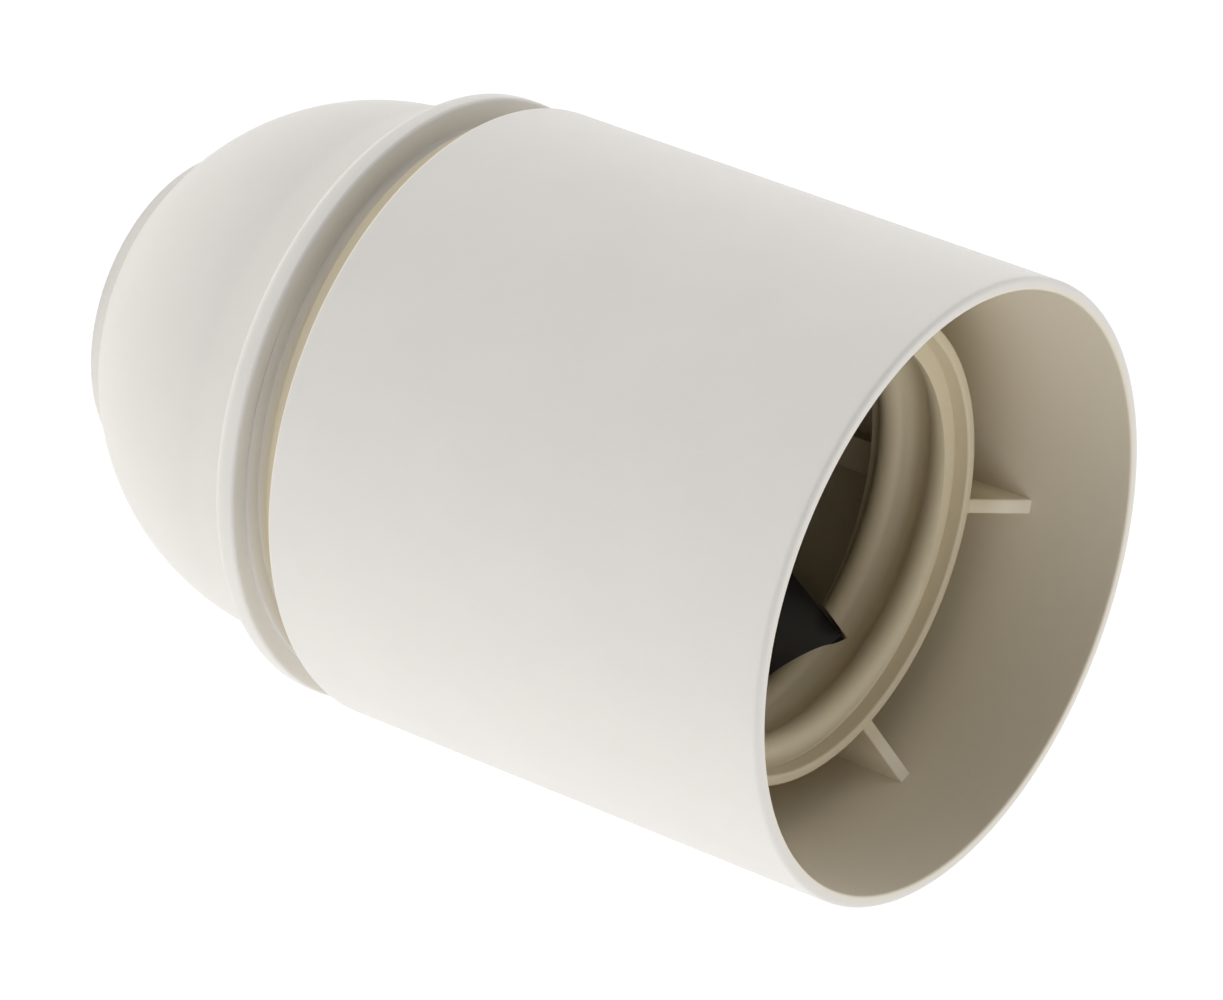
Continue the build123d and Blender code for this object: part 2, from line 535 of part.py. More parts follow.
def make_nut(x):
    """Square nut in its pocket over the strip."""
    nut = block(x - NUT_SIDE / 2, x + NUT_SIDE / 2, -NUT_SIDE / 2, NUT_SIDE / 2,
                STRIP_FRONT_Z, STRIP_FRONT_Z + NUT_T)
    return nut - rod(SCREW_R + THREAD_CLEAR, STRIP_FRONT_Z - OVERCUT, STRIP_FRONT_Z + NUT_T + OVERCUT, x)


def make_clamp():
    """Square clamp plate on the +X side, with a tab folded up at its end that keeps it from turning."""
    plate = block(TERMINAL_X - CLAMP_SIDE / 2, TAB_FACE_X - BEND_R, -CLAMP_SIDE / 2, CLAMP_SIDE / 2,
                  CLAMP_REAR_Z, CLAMP_FRONT_Z)
    plate = fillet(plate.edges().filter_by(Axis.Z), CLAMP_CORNER)
    plate += block(TERMINAL_X, TAB_BACK_X, -TAB_W / 2, TAB_W / 2, CLAMP_REAR_Z, CLAMP_FRONT_Z)
    plate += block(TAB_FACE_X, TAB_BACK_X, -TAB_W / 2, TAB_W / 2, CLAMP_REAR_Z, TAB_FRONT_Z)
    plate = folded(plate, Axis.Y, (TAB_BACK_X, 0, CLAMP_REAR_Z), (TAB_FACE_X, 0, CLAMP_FRONT_Z), CLAMP_T)
    return plate - rod(SCREW_R + THREAD_CLEAR, CLAMP_REAR_Z - OVERCUT, CLAMP_FRONT_Z + OVERCUT, TERMINAL_X)


def make_screw(x):
    """Slotted cheese-head terminal screw, head down."""
    head_rear = HEAD_FRONT_Z - HEAD_H
    head = rod(HEAD_R, head_rear, HEAD_FRONT_Z, x)
    head = fillet(head.edges().sort_by(Axis.Z)[:1], HEAD_ROUND)
    head -= block(x - HEAD_R - OVERCUT, x + HEAD_R + OVERCUT, -SLOT_W / 2, SLOT_W / 2,
                  head_rear - OVERCUT, head_rear + SLOT_DEPTH)
    shank = rod(SCREW_R, HEAD_FRONT_Z, SCREW_TIP_Z, x)
    shank = chamfer(shank.edges().sort_by(Axis.Z)[-1:], SCREW_POINT)
    return head + shank


def make_pin():
    """Centre contact pin with a domed tip, a shoulder and a tail inside its spring."""
    tail_z = SHOULDER_REAR_Z - PIN_TAIL
    tip_z = BLOCK_FRONT_Z + PIN_REACH
    return turned(profile([(0, tail_z), (PIN_TAIL_R, tail_z), (PIN_TAIL_R, SHOULDER_REAR_Z),
                           (PIN_SHOULDER_R, SHOULDER_REAR_Z), (PIN_SHOULDER_R, SHOULDER_TOP_Z),
                           (PIN_R, SHOULDER_TOP_Z), (PIN_R, tip_z), (0, tip_z)],
                          [(PIN_R, tip_z, PIN_TIP_ROUND)]))


def make_spring():
    """Round-wire coil spring between the live strip and the pin's shoulder."""
    z0 = STRIP_FRONT_Z + SPRING_WIRE_R + FACE_GAP
    z1 = SHOULDER_REAR_Z - SPRING_WIRE_R - FACE_GAP
    wire = Pos(SPRING_R, 0) * Circle(SPRING_WIRE_R)
    return helical(wire, (z1 - z0) / SPRING_TURNS, SPRING_R, z0, SPRING_TURNS)


parts = {
    "dome_cap": make_cap(),
    "skirt": make_skirt(),
    "contact_block": make_block(),
    "live_strip": make_live_strip(),
    "neutral_strip": make_neutral_strip(),
    "side_contact": make_side_contact(),
    "side_rivet": make_side_rivet(),
    "live_rivet": make_rivet(*LIVE_RIVET),
    "neutral_rivet": make_rivet(*NEUTRAL_RIVET),
    "live_nut": make_nut(-TERMINAL_X),
    "neutral_nut": make_nut(TERMINAL_X),
    "live_clamp": make_clamp().rotate(Axis.Z, 180),
    "neutral_clamp": make_clamp(),
    "live_screw": make_screw(-TERMINAL_X),
    "neutral_screw": make_screw(TERMINAL_X),
    "centre_pin": make_pin(),
    "centre_spring": make_spring(),
}

os.makedirs("parts", exist_ok=True)
for name, shape in parts.items():
    export_step(shape, f"parts/{name}.step")
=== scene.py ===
from math import asin, atan2, cos, degrees, radians, sin, sqrt, tau

import bmesh
import bpy
from bpy.props import FloatProperty, FloatVectorProperty, IntProperty, PointerProperty
from mathutils import Matrix, Vector


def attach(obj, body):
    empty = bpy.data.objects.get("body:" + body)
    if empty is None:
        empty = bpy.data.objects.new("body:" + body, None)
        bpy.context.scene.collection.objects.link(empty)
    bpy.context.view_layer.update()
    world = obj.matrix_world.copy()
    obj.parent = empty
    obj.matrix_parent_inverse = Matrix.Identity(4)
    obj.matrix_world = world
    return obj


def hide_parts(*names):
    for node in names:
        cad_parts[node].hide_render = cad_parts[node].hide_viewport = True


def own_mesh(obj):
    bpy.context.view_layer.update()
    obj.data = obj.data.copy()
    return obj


bl_info = {
    "name": "Screw lamp holder",
    "version": (1, 0, 0),
    "blender": (4, 5, 0),
    "location": "View3D > Sidebar > Lamp holder",
    "description": "Models a screw lamp holder round its solids, with rounded mouldings, threads and finishes",
    "category": "Object",
}

# Every solid stands with its cap's end at the origin and its mouth up
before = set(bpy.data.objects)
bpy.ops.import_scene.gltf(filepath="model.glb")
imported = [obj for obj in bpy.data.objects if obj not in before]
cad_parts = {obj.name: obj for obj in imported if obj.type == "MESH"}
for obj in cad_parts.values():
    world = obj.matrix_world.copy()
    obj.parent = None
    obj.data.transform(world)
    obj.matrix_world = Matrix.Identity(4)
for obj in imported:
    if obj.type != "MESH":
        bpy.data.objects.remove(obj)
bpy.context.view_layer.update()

# Modelling is in millimetres, and a finished piece is scaled to metres
MM = 0.001

# Points closer than this are one point
WELD = 1e-4

# How far a root reaches into what carries it
ROOT_BITE = 0.3

# How far a tool reaches past what it cuts, and how far it stays off a face that would lie in its plane
OVERCUT = 1.0
TOUCH = 0.01

# Faces that meet at less than CREASE degrees are shaded as one, and edges over SHARP degrees get a bevel
CREASE = 35.0
SHARP = 40.0


def length(name, description, default):
    """A size in millimetres as a property in metres."""
    return FloatProperty(name=name, description=description, default=default * MM, min=0.0, precision=5,
                         unit="LENGTH")


def number(name, description, default):
    """A number of like things as a property."""
    return IntProperty(name=name, description=description, default=default, min=2, subtype="UNSIGNED")


def colour(name, description, default):
    """A colour as a property."""
    return FloatVectorProperty(name=name, description=description, default=default, min=0.0, max=1.0, size=3,
                               subtype="COLOR")


class SkirtSizes(bpy.types.PropertyGroup):
    """Sizes of the skirt"""
    rear_z: length("Rear height", "Height of the skirt's rear edge", 21.6)
    mouth_z: length("Mouth height", "Height of the skirt's mouth", 56.0)
    rear_r: length("Rear radius", "Outer radius at the rear edge", 18.8)
    mouth_r: length("Mouth radius", "Outer radius at the mouth", 18.5)
    wall: length("Mouth wall", "Wall at the mouth", 0.75)
    draft: length("Draft", "How much the mouth's wall thickens down to the web", 0.3)
    rim_edge: length("Rim rounding", "Rounding of the mouth's outer edge", 0.3)
    bore_r: length("Bore radius", "Radius of the bore that turns on the cap's collar", 17.1)
    web: length("Web", "Thickness of the web that carries the sleeve", 1.3)
    sleeve_top: length("Sleeve depth", "How far the sleeve's rim lies below the mouth", 8.5)
    sleeve_l: length("Sleeve length", "Length of the threaded sleeve", 6.8)
    sleeve_r: length("Sleeve radius", "Outer radius of the sleeve", 14.2)
    lead: length("Lead-in", "Length of the cone at the sleeve's rim", 0.9)
    flare: length("Flare", "How much the cone widens the sleeve's rim", 0.14)
    ribs: number("Gussets", "Number of gussets round the sleeve, and of stop ribs behind them", 6)
    rib_turn: FloatProperty(name="Gusset turn", description="Angle from the X axis to the first gusset",
                            default=radians(11.5), unit="ROTATION")
    gusset: length("Gusset", "Thickness of a gusset", 0.9)
    gusset_rise: length("Gusset rise", "How far a gusset climbs the wall above the sleeve", 2.2)
    gusset_edge: length("Gusset edge", "Rounding of a gusset's free edges", 0.16)
    stop_z: length("Stop height", "Height of the stop ribs' rear ends, which the contact block meets", 29.3)
    stop_w: length("Stop width", "Width of a stop rib", 2.0)
    stop_depth: length("Stop depth", "How far a stop rib stands in from the bore", 1.2)
    notch_r: length("Notch radius", "Outer radius of the two notches for the key towers", 15.85)
    notch_peak: length("Notch peak", "Height of a notch's peak over the sleeve's rear end", 2.61)
    notch_left: length("Notch left", "Reach of a notch to the left of its peak", 3.85)
    notch_left_fall: length("Left fall", "Fall of a notch's edge from its peak to the left", 7.55)
    notch_right: length("Notch right", "Reach of a notch to the right of its peak", 4.85)
    notch_right_fall: length("Right fall", "Fall of a notch's edge from its peak to the right", 2.555)


class CapSizes(bpy.types.PropertyGroup):
    """Sizes of the cap"""
    boss_r: length("End radius", "Radius of the flat end", 10.05)
    boss_rise: length("End rise", "Height of the cone between the flat end and the dome", 1.05)
    dome_r: length("Dome radius", "Outer radius of the dome", 16.6)
    dome_z: length("Dome centre", "Height of the dome's centre", 14.0)
    draft: length("Dome draft", "How much the dome's side widens up to the flange", 0.3)
    wall: length("Wall", "Wall of the dome", 1.6)
    floor_z: length("Floor", "Height of the cap's inner floor", 2.2)
    flange_r: length("Flange radius", "Radius of the flange", 18.63)
    flange_z: length("Flange height", "Height of the flange's rear face", 16.8)
    flange: length("Flange", "Thickness of the flange", 2.0)
    bevel_w: length("Bevel width", "Width of the bevel at the flange's rear", 1.13)
    bevel_h: length("Bevel height", "Height of the bevel at the flange's rear", 0.75)
    collar_r: length("Collar radius", "Outer radius of the threaded collar", 16.95)
    collar_h: length("Collar height", "Height of the collar over the flange", 8.0)
    collar: length("Collar wall", "Wall of the collar", 1.55)
    hub_r: length("Hub radius", "Radius of the cable entry's hub", 7.6)
    hub_z: length("Hub height", "Height of the hub's inner face", 9.5)
    hub_bevel: length("Hub bevel", "Bevel of the bore at the hub's inner face", 0.4)
    entry_r: length("Entry radius", "Minor radius of the cable entry's thread", 4.46)
    entry_bevel: length("Entry bevel", "Bevel of the bore at the flat end", 0.5)


class ThreadSizes(bpy.types.PropertyGroup):
    """Sizes of the threads"""
    join_pitch: length("Coarse pitch", "Pitch of the thread between cap and skirt", 2.2)
    join_depth: length("Coarse depth", "Depth of the thread between cap and skirt", 0.6)
    join_crest: length("Coarse crest", "Width of that thread's ridge at its crest", 0.75)
    join_base: length("Coarse base", "Width of that thread's ridge on the collar", 1.25)
    join_start: length("Coarse start", "Height over the flange of a turn of that ridge at the X axis", 2.29)
    join_runout: length("Coarse run-out", "How far below the collar's top that ridge ends", 0.4)
    join_gap: length("Coarse gap", "Clearance of the skirt's groove all round that ridge", 0.15)
    groove_top: length("Groove top", "Height at which the skirt's groove ends", 27.95)
    lamp_pitch: length("Lamp pitch", "Pitch of the lamp's round thread", 3.629)
    lamp_minor: length("Lamp minor radius", "Radius at the ridges of the lamp's thread", 12.25)
    lamp_major: length("Lamp major radius", "Radius in the grooves of the lamp's thread", 13.4)
    lamp_start: length("Lamp start", "Height over the sleeve's rear end of its ridge at the X axis", 0.34)
    lamp_land: length("Lamp land", "How far the sleeve's bore stands in from the thread's major radius", 0.02)
    entry_pitch: length("Entry pitch", "Pitch of the cable entry's thread", 1.0)
    entry_depth: length("Entry depth", "Depth of the cable entry's thread", 0.54)
    screw_pitch: length("Screw pitch", "Pitch of the terminal screws", 0.5)
    screw_depth: length("Screw depth", "Depth of a terminal screw's thread", 0.27)
    nut_depth: length("Nut depth", "Depth of a terminal nut's thread", 0.16)
    steps: number("Steps", "Facets in one turn of a large thread or wall", 144)


class InnerSizes(bpy.types.PropertyGroup):
    """Sizes of the contact block and of the metal pieces on it"""
    block_rear: length("Block rear", "Height of the contact block's rear face", 23.0)
    block_front: length("Block front", "Height of the contact block's front face", 29.25)
    block_edge: length("Block edge", "Bevel on the edges of the contact block", 0.09)
    metal_edge: length("Metal edge", "Bevel on the edges of stamped metal", 0.06)
    terminal_x: length("Terminal place", "Distance of a terminal screw from the axis", 9.6)
    screw_r: length("Screw radius", "Radius over a terminal screw's thread", 1.45)
    screw_tip: length("Screw tip", "Height of a terminal screw's tip", 27.4)
    screw_point: length("Screw point", "Bevel at a terminal screw's tip", 0.48)
    head_r: length("Head radius", "Radius of a terminal screw's head", 2.75)
    head: length("Head", "Height of a terminal screw's head", 1.9)
    head_z: length("Head face", "Height of the face that a terminal screw's head clamps with", 22.05)
    slot_w: length("Slot width", "Width of a terminal screw's slot", 0.8)
    slot_h: length("Slot depth", "Depth of a terminal screw's slot", 1.0)
    nut_side: length("Nut side", "Width of a terminal nut", 5.5)
    nut: length("Nut", "Thickness of a terminal nut", 2.0)
    nut_z: length("Nut height", "Height of a terminal nut's rear face", 23.6)
    nut_gap: length("Nut gap", "Clearance of a terminal nut's bore round its screw", 0.05)
    nut_edge: length("Nut edge", "Bevel on the edges of a terminal nut", 0.18)
    rivet_r: length("Rivet radius", "Radius of a strip rivet's shank", 1.0)
    rivet_head_r: length("Rivet head radius", "Radius of a strip rivet's heads", 1.9)
    rivet_head: length("Rivet head", "Height of a strip rivet's heads", 0.5)
    live_rivet: length("Live rivet place", "Distance of the live rivet from the axis", 7.2)
    neutral_rivet: length("Neutral rivet place", "Distance of the neutral rivet from the axis", 11.2)
    side_rivet_z: length("Side rivet height", "Height of the side contact's rivet", 31.4)
    side_rivet_r: length("Side rivet radius", "Radius of the side rivet's shank", 0.8)
    side_head_r: length("Side head radius", "Radius of the side rivet's heads", 1.5)
    side_head: length("Side head", "Height of the side rivet's heads", 0.35)
    leaf_r: length("Leaf place", "Distance of the side contact's inner face from the axis", 13.35)
    upright_r: length("Upright place", "Distance of the neutral upright's outer face from the axis", 14.3)
    pin_r: length("Pin radius", "Radius of the centre contact", 2.4)
    pin_top: length("Pin top", "Height of the centre contact's top", 32.3)
    pin_dome: length("Pin dome", "Rounding of the centre contact's top", 1.1)
    pin_tail_r: length("Pin tail radius", "Radius of the centre contact's tail in its spring", 1.9)
    pin_tail: length("Pin tail", "Length of the centre contact's tail", 1.6)
    shoulder: length("Pin shoulder", "Width and height of the centre contact's shoulder", 0.7)
    shoulder_z: length("Shoulder height", "Height of the shoulder's rear face", 27.2)
    wire: length("Wire", "Thickness of the spring's wire", 0.4)
    spring_r: length("Spring radius", "Radius of the spring to the middle of its wire", 2.55)
    spring_foot: length("Spring foot", "Height of the strip that the spring stands on", 23.6)


class HolderColours(bpy.types.PropertyGroup):
    """Colours of the finishes and the floor"""
    plastic: colour("White plastic", "Cap and skirt", (0.80, 0.775, 0.73))
    # Painted shade: this inside tone stands in for the shade inside the cap and skirt, which are the same
    # white plastic
    painted_inside_shade: colour("Painted inside shade", "Inside of the cap and skirt", (0.65, 0.565, 0.40))
    black: colour("Black plastic", "Contact block", (0.025, 0.025, 0.028))
    brass: colour("Brass", "Strips, rivets and centre contact", (0.74, 0.56, 0.28))
    bronze: colour("Bronze", "Side contact", (0.70, 0.47, 0.27))
    steel: colour("Plated steel", "Screws, nuts, clamps and spring", (0.63, 0.62, 0.59))
    floor: colour("Floor", "Floor under the holder", (0.88, 0.88, 0.88))


class Outline:
    """A line in the XZ plane, in millimetres, drawn corner by corner, to be turned or swept."""

    # A straight over LONG gets a point END from each end, which keeps its shading flat beside a rounding
    LONG = 1.2
    END = 0.2

    def __init__(self, *corners):
        self.bm = bmesh.new()
        self.first = self.last = None
        self.rounded = []
        for corner in corners:
            self.to(*corner)

    def to(self, x, z, rounding=0.0):
        """Draws on to a corner at x and z, which may be rounded."""
        vert = self.bm.verts.new((x, 0.0, z))
        if self.last:
            self.bm.edges.new((self.last, vert))
        else:
            self.first = vert
        self.last = vert
        if rounding:
            self.rounded.append((vert, rounding))
        return self

    def turn(self, x, z, angle, steps):
        """Carries the line on round a centre by an angle in degrees, from +Z towards +X."""
        spun = bmesh.ops.spin(self.bm, geom=[self.last], cent=(x, 0, z), axis=(0, 1, 0), dvec=(0, 0, 0),
                              angle=radians(angle), steps=steps, use_merge=False)
        self.last = next(part for part in spun["geom_last"] if isinstance(part, bmesh.types.BMVert))
        return self

    def finish(self, closed=True, segments=5):
        """Rounds the corners and gives the line as a bmesh."""
        if closed:
            self.bm.edges.new((self.last, self.first))
        for vert, rounding in self.rounded:
            bmesh.ops.bevel(self.bm, geom=[vert], offset=rounding, offset_type="OFFSET", segments=segments,
                            profile=0.5, affect="VERTICES", material=-1)
        bmesh.ops.remove_doubles(self.bm, verts=self.bm.verts, dist=WELD)
        for edge in [edge for edge in self.bm.edges if edge.calc_length() > self.LONG]:
            (start, end), size = edge.verts, edge.calc_length()
            near = bmesh.utils.edge_split(edge, start, self.END / size)[1]
            rest = next(part for part in near.link_edges if end in part.verts)
            bmesh.utils.edge_split(rest, end, self.END / (size - self.END))
        return self.bm


def lathe(line, steps):
    """Turns a line about the Z axis into a closed solid."""
    bmesh.ops.spin(line, geom=line.verts[:] + line.edges[:], cent=(0, 0, 0), axis=(0, 0, 1), dvec=(0, 0, 0),
                   angle=tau, steps=steps, use_merge=True)
    bmesh.ops.remove_doubles(line, verts=line.verts, dist=WELD)
    bmesh.ops.recalc_face_normals(line, faces=line.faces)
    return line


def coil(line, pitch, turns, steps):
    """Sweeps a closed line up a right-handed helix about the Z axis into a closed solid."""
    bmesh.ops.contextual_create(line, geom=line.edges[:])
    count = round(turns * steps)
    bmesh.ops.spin(line, geom=line.verts[:] + line.edges[:] + line.faces[:], cent=(0, 0, 0), axis=(0, 0, 1),
                   dvec=(0, 0, pitch / steps), angle=tau * count / steps, steps=count, use_merge=False)
    bmesh.ops.recalc_face_normals(line, faces=line.faces)
    return line


def rod(radius, low, high, steps=96):
    """A closed cylinder on the Z axis."""
    return lathe(Outline((0, low), (radius, low), (radius, high), (0, high)).finish(closed=False), steps)


def box(low, high, bevel=0.0):
    """A closed box between two corners, with its edges bevelled."""
    bm = bmesh.new()
    middle = (Vector(low) + Vector(high)) / 2
    size = Vector(high) - Vector(low)
    bmesh.ops.create_cube(bm, size=1.0, matrix=Matrix.Translation(middle) @ Matrix.Diagonal((*size, 1.0)))
    if bevel:
        soften(bm, bm.edges[:], bevel)
    return bm


def soften(bm, edges, width, segments=1):
    """Bevels edges, flat or in a few segments."""
    bmesh.ops.bevel(bm, geom=edges, offset=width, offset_type="OFFSET", segments=segments, profile=0.5,
                    affect="EDGES", clamp_overlap=True, material=-1)


def plate(line, thickness):
    """Thickens a closed line in the XZ plane evenly to both sides along Y."""
    made = bmesh.ops.contextual_create(line, geom=line.edges[:])
    bmesh.ops.translate(line, vec=(0, -thickness / 2, 0), verts=line.verts)
    pushed = bmesh.ops.extrude_face_region(line, geom=made["faces"], use_keep_orig=True)
    moved = [part for part in pushed["geom"] if isinstance(part, bmesh.types.BMVert)]
    bmesh.ops.translate(line, vec=(0, thickness, 0), verts=moved)
    bmesh.ops.recalc_face_normals(line, faces=line.faces)
    return line


def turned(bm, angle, x=0.0):
    """A solid turned about the Z axis, and then moved along X."""
    matrix = Matrix.Translation((x, 0, 0)) @ Matrix.Rotation(radians(angle), 4, "Z")
    bmesh.ops.transform(bm, matrix=matrix, verts=bm.verts)
    return bm


def gathered(solids):
    """Several solids that don't touch, as one bmesh."""
    whole = bmesh.new()
    for solid in solids:
        mesh = bpy.data.meshes.new("part")
        solid.to_mesh(mesh)
        solid.free()
        whole.from_mesh(mesh)
        bpy.data.meshes.remove(mesh)
    return whole


def loose(bm, name):
    """A scene object that holds a bmesh, which is freed."""
    mesh = bpy.data.meshes.new(name)
    bm.to_mesh(mesh)
    bm.free()
    obj = bpy.data.objects.new(name, mesh)
    bpy.context.scene.collection.objects.link(obj)
    return obj


def combined(operation, bm, *tools):
    """Joins solids to a solid, cuts them from it, or keeps what it shares with them."""
    for tool in tools:
        target = loose(bm, "target")
        other = loose(tool, "tool")
        change = target.modifiers.new("change", "BOOLEAN")
        change.operation = operation
        change.solver = "EXACT"
        change.object = other
        bm = bmesh.new()
        bm.from_object(target, bpy.context.evaluated_depsgraph_get())
        for obj in (target, other):
            mesh = obj.data
            bpy.data.objects.remove(obj)
            bpy.data.meshes.remove(mesh)
        bmesh.ops.remove_doubles(bm, verts=bm.verts, dist=WELD)
        if not bm.faces:
            raise RuntimeError("Nothing is left of a solid after " + operation)
    return bm


def settle(bm, name, body, finish, slot, *nodes):
    """Makes a piece of a solid in millimetres, which rides on a body and stands for CAD nodes."""
    bmesh.ops.scale(bm, vec=(MM, MM, MM), verts=bm.verts)
    obj = loose(bm, name)
    obj.data.shade_smooth()
    obj.data.set_sharp_from_angle(angle=radians(CREASE))
    obj.data.materials.append(bpy.data.materials[finish])
    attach(obj, body)
    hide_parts(*nodes)
    return obj


def merged(node):
    """A copy of a CAD node's mesh in millimetres, with its triangles joined into plain faces."""
    bm = bmesh.new()
    bm.from_mesh(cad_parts[node].data)
    bmesh.ops.scale(bm, vec=(1 / MM, 1 / MM, 1 / MM), verts=bm.verts)
    bmesh.ops.remove_doubles(bm, verts=bm.verts, dist=WELD)
    bmesh.ops.dissolve_limit(bm, angle_limit=radians(0.5), use_dissolve_boundaries=False, verts=bm.verts,
                             edges=bm.edges, delimit=set())
    return bm


def sharp_edges(bm):
    """The edges of a closed solid that get a bevel."""
    return [edge for edge in bm.edges
            if len(edge.link_faces) == 2 and edge.calc_face_angle(0.0) > radians(SHARP)]


class Value:
    """A number in a node tree, read from a socket, that takes part in written sums."""

    def __init__(self, graph, socket):
        self.graph = graph
        self.socket = socket

    def maths(self, operation, first, second):
        """The value of a sum of two values or numbers."""
        node = self.graph.node("ShaderNodeMath", {"operation": operation}, {0: first, 1: second})
        return Value(self.graph, node.outputs[0])

    def ramp(self, start, end):
        """Rises smoothly from 0 at a start to 1 at an end."""
        node = self.graph.node("ShaderNodeMapRange", {"interpolation_type": "SMOOTHSTEP"},
                               {"Value": self, "From Min": start, "From Max": end})
        return Value(self.graph, node.outputs["Result"])

    def zone(self, low, high):
        """Rises smoothly from 0 to 1 between two places in millimetres."""
        return self.ramp(low * MM, high * MM)

    def __add__(self, other):
        return self.maths("ADD", self, other)

    def __radd__(self, other):
        return self.maths("ADD", other, self)

    def __sub__(self, other):
        return self.maths("SUBTRACT", self, other)

    def __rsub__(self, other):
        return self.maths("SUBTRACT", other, self)

    def __mul__(self, other):
        return self.maths("MULTIPLY", self, other)

    def __rmul__(self, other):
        return self.maths("MULTIPLY", other, self)

    def __pow__(self, other):
        return self.maths("POWER", self, other)


class Graph:
    """The node tree of a material or a world, whose nodes all come from one method."""

    def __init__(self, block):
        block.use_nodes = True
        self.block = block
        self.tree = block.node_tree

    def node(self, kind, settings=None, sockets=None):
        """Adds a node with its settings, and the values or links of its sockets."""
        node = self.tree.nodes.new(kind)
        for key, setting in (settings or {}).items():
            setattr(node, key, setting)
        for key, value in (sockets or {}).items():
            self.feed(node.inputs[key], value)
        return node

    def feed(self, socket, value):
        """Links a socket to a value, or sets it."""
        if isinstance(value, Value):
            value = value.socket
        if isinstance(value, bpy.types.NodeSocket):
            self.tree.links.new(value, socket)
        else:
            socket.default_value = value

    def dot(self, first, second):
        """The dot product of two vectors as a value."""
        node = self.node("ShaderNodeVectorMath", {"operation": "DOT_PRODUCT"}, {0: first, 1: second})
        return Value(self, node.outputs["Value"])

    def rays(self, *kinds):
        """1 where the ray is of one of the kinds, else 0."""
        path = self.node("ShaderNodeLightPath")
        total = Value(self, path.outputs[kinds[0]])
        for kind in kinds[1:]:
            total = total.maths("MAXIMUM", total, path.outputs[kind])
        return total


class Finish(Graph):
    """A material on the Principled shader."""

    def __init__(self, name, roughness=0.5, metallic=0.0):
        super().__init__(bpy.data.materials.new(name))
        self.shader = self.tree.nodes["Principled BSDF"]
        self.shader.inputs["Roughness"].default_value = roughness
        self.shader.inputs["Metallic"].default_value = metallic
        self.place = self.node("ShaderNodeTexCoord").outputs["Object"]

    def noise(self, size, detail=2.0, stretch=(1.0, 1.0, 1.0)):
        """Noise from 0 to 1 in grains of a size in millimetres, finer along an axis with a larger stretch."""
        scale = [part / (size * MM) for part in stretch]
        spot = self.node("ShaderNodeMapping", sockets={"Vector": self.place, "Scale": scale})
        cloud = self.node("ShaderNodeTexNoise",
                          sockets={"Vector": spot.outputs[0], "Scale": 1.0, "Detail": detail})
        return Value(self, cloud.outputs["Fac"])

    def blend(self, base, other, share):
        """Mixes two colours, each a colour or a socket, by a share."""
        first, second = (end if isinstance(end, bpy.types.NodeSocket) else (*end, 1) for end in (base, other))
        mix = self.node("ShaderNodeMix", {"data_type": "RGBA"}, {"Factor": share, "A": first, "B": second})
        return mix.outputs["Result"]

    def paint(self, tone):
        """Gives a colour to the base colour."""
        self.feed(self.shader.inputs["Base Color"], tone)

    def rough(self, value):
        """Gives the roughness a value that changes over the surface."""
        self.feed(self.shader.inputs["Roughness"], value)

    def relief(self, height, depth):
        """Raises the surface by a height from 0 to 1, as deep as a depth in micrometres."""
        bump = self.node("ShaderNodeBump",
                         sockets={"Height": height, "Strength": 1.0, "Distance": depth * MM * MM})
        self.feed(self.shader.inputs["Normal"], bump.outputs["Normal"])


def shade(base, factor):
    """A colour made lighter or darker."""
    return [min(1.0, part * factor) for part in base]


def white_plastic(base, painted_inside_shade):
    """Satin moulded thermoplastic with a fine spark-eroded grain, with painted shade inside: darker and
    creamier there, darkest behind the web, and a painted light band near the mouth.
    """
    finish = Finish("satin_white")
    grain = finish.noise(0.13, 2.0)
    cloud = finish.noise(5.0, 3.0)
    flow = finish.noise(0.7, 2.0)
    mottle = cloud * 0.7 + grain * 0.3
    across = finish.node("ShaderNodeVectorMath", {"operation": "MULTIPLY"}, {0: finish.place, 1: (1, 1, 0)})
    radius = finish.dot(across.outputs[0], across.outputs[0]) ** 0.5
    height = finish.dot(finish.place, (0, 0, 1))
    outer = finish.blend(shade(base, 0.96), shade(base, 1.035), mottle)
    # Painted shade: the inside of the cap and skirt takes a darker, warmer tone than the outside
    inner = finish.blend(shade(painted_inside_shade, 0.92), shade(painted_inside_shade, 0.98), mottle)
    # Painted shade: darker still behind the web, deep in the skirt
    deep = finish.blend(shade(painted_inside_shade, 0.62), shade(painted_inside_shade, 0.68), mottle)
    # Painted light: a lighter band inside near the mouth, where more light reaches
    painted_rim_light = finish.blend(outer, shade(painted_inside_shade, 1.34), 0.5 + 0.02 * mottle)
    # Where the painted shade lies: inside the barrel above the flange, and mostly not on the collar
    inside = (1 - radius.zone(17.7, 18.2)) * height.zone(18.9, 20)
    on_collar = height.zone(20.5, 22) * (1 - height.zone(28, 30))
    shade_behind_web = (1 - height.zone(39, 44)) * height.zone(25, 29)
    lit_near_mouth = radius.zone(14.5, 16.5) * height.zone(42, 51)
    inner = finish.blend(finish.blend(inner, deep, shade_behind_web), painted_rim_light, lit_near_mouth)
    finish.paint(finish.blend(outer, inner, inside * (1 - 0.8 * on_collar)))
    finish.rough(0.36 + 0.10 * grain + 0.08 * flow)
    finish.relief(grain + flow * 0.8, 7.0)


def black_plastic(base):
    """Hard black moulding with a slight polish and pale dust in its grain."""
    finish = Finish("satin_black")
    grain = finish.noise(0.12, 3.0)
    cloud = finish.noise(2.4, 3.0)
    finish.paint(finish.blend(base, shade(base, 2.2), cloud * grain))
    finish.rough(0.30 + 0.22 * grain)
    finish.relief(grain, 5.0)


def sheet_metal(name, base, roughness, stretch):
    """Rolled strip with drawn streaks along one direction."""
    finish = Finish(name, metallic=1.0)
    streak = finish.noise(0.09, 2.0, stretch)
    stain = finish.noise(1.8, 3.0)
    finish.paint(finish.blend(shade(base, 0.84), shade(base, 1.06), stain * 0.7 + streak * 0.3))
    finish.rough(roughness + 0.16 * streak + 0.08 * stain)
    finish.relief(streak, 2.0)


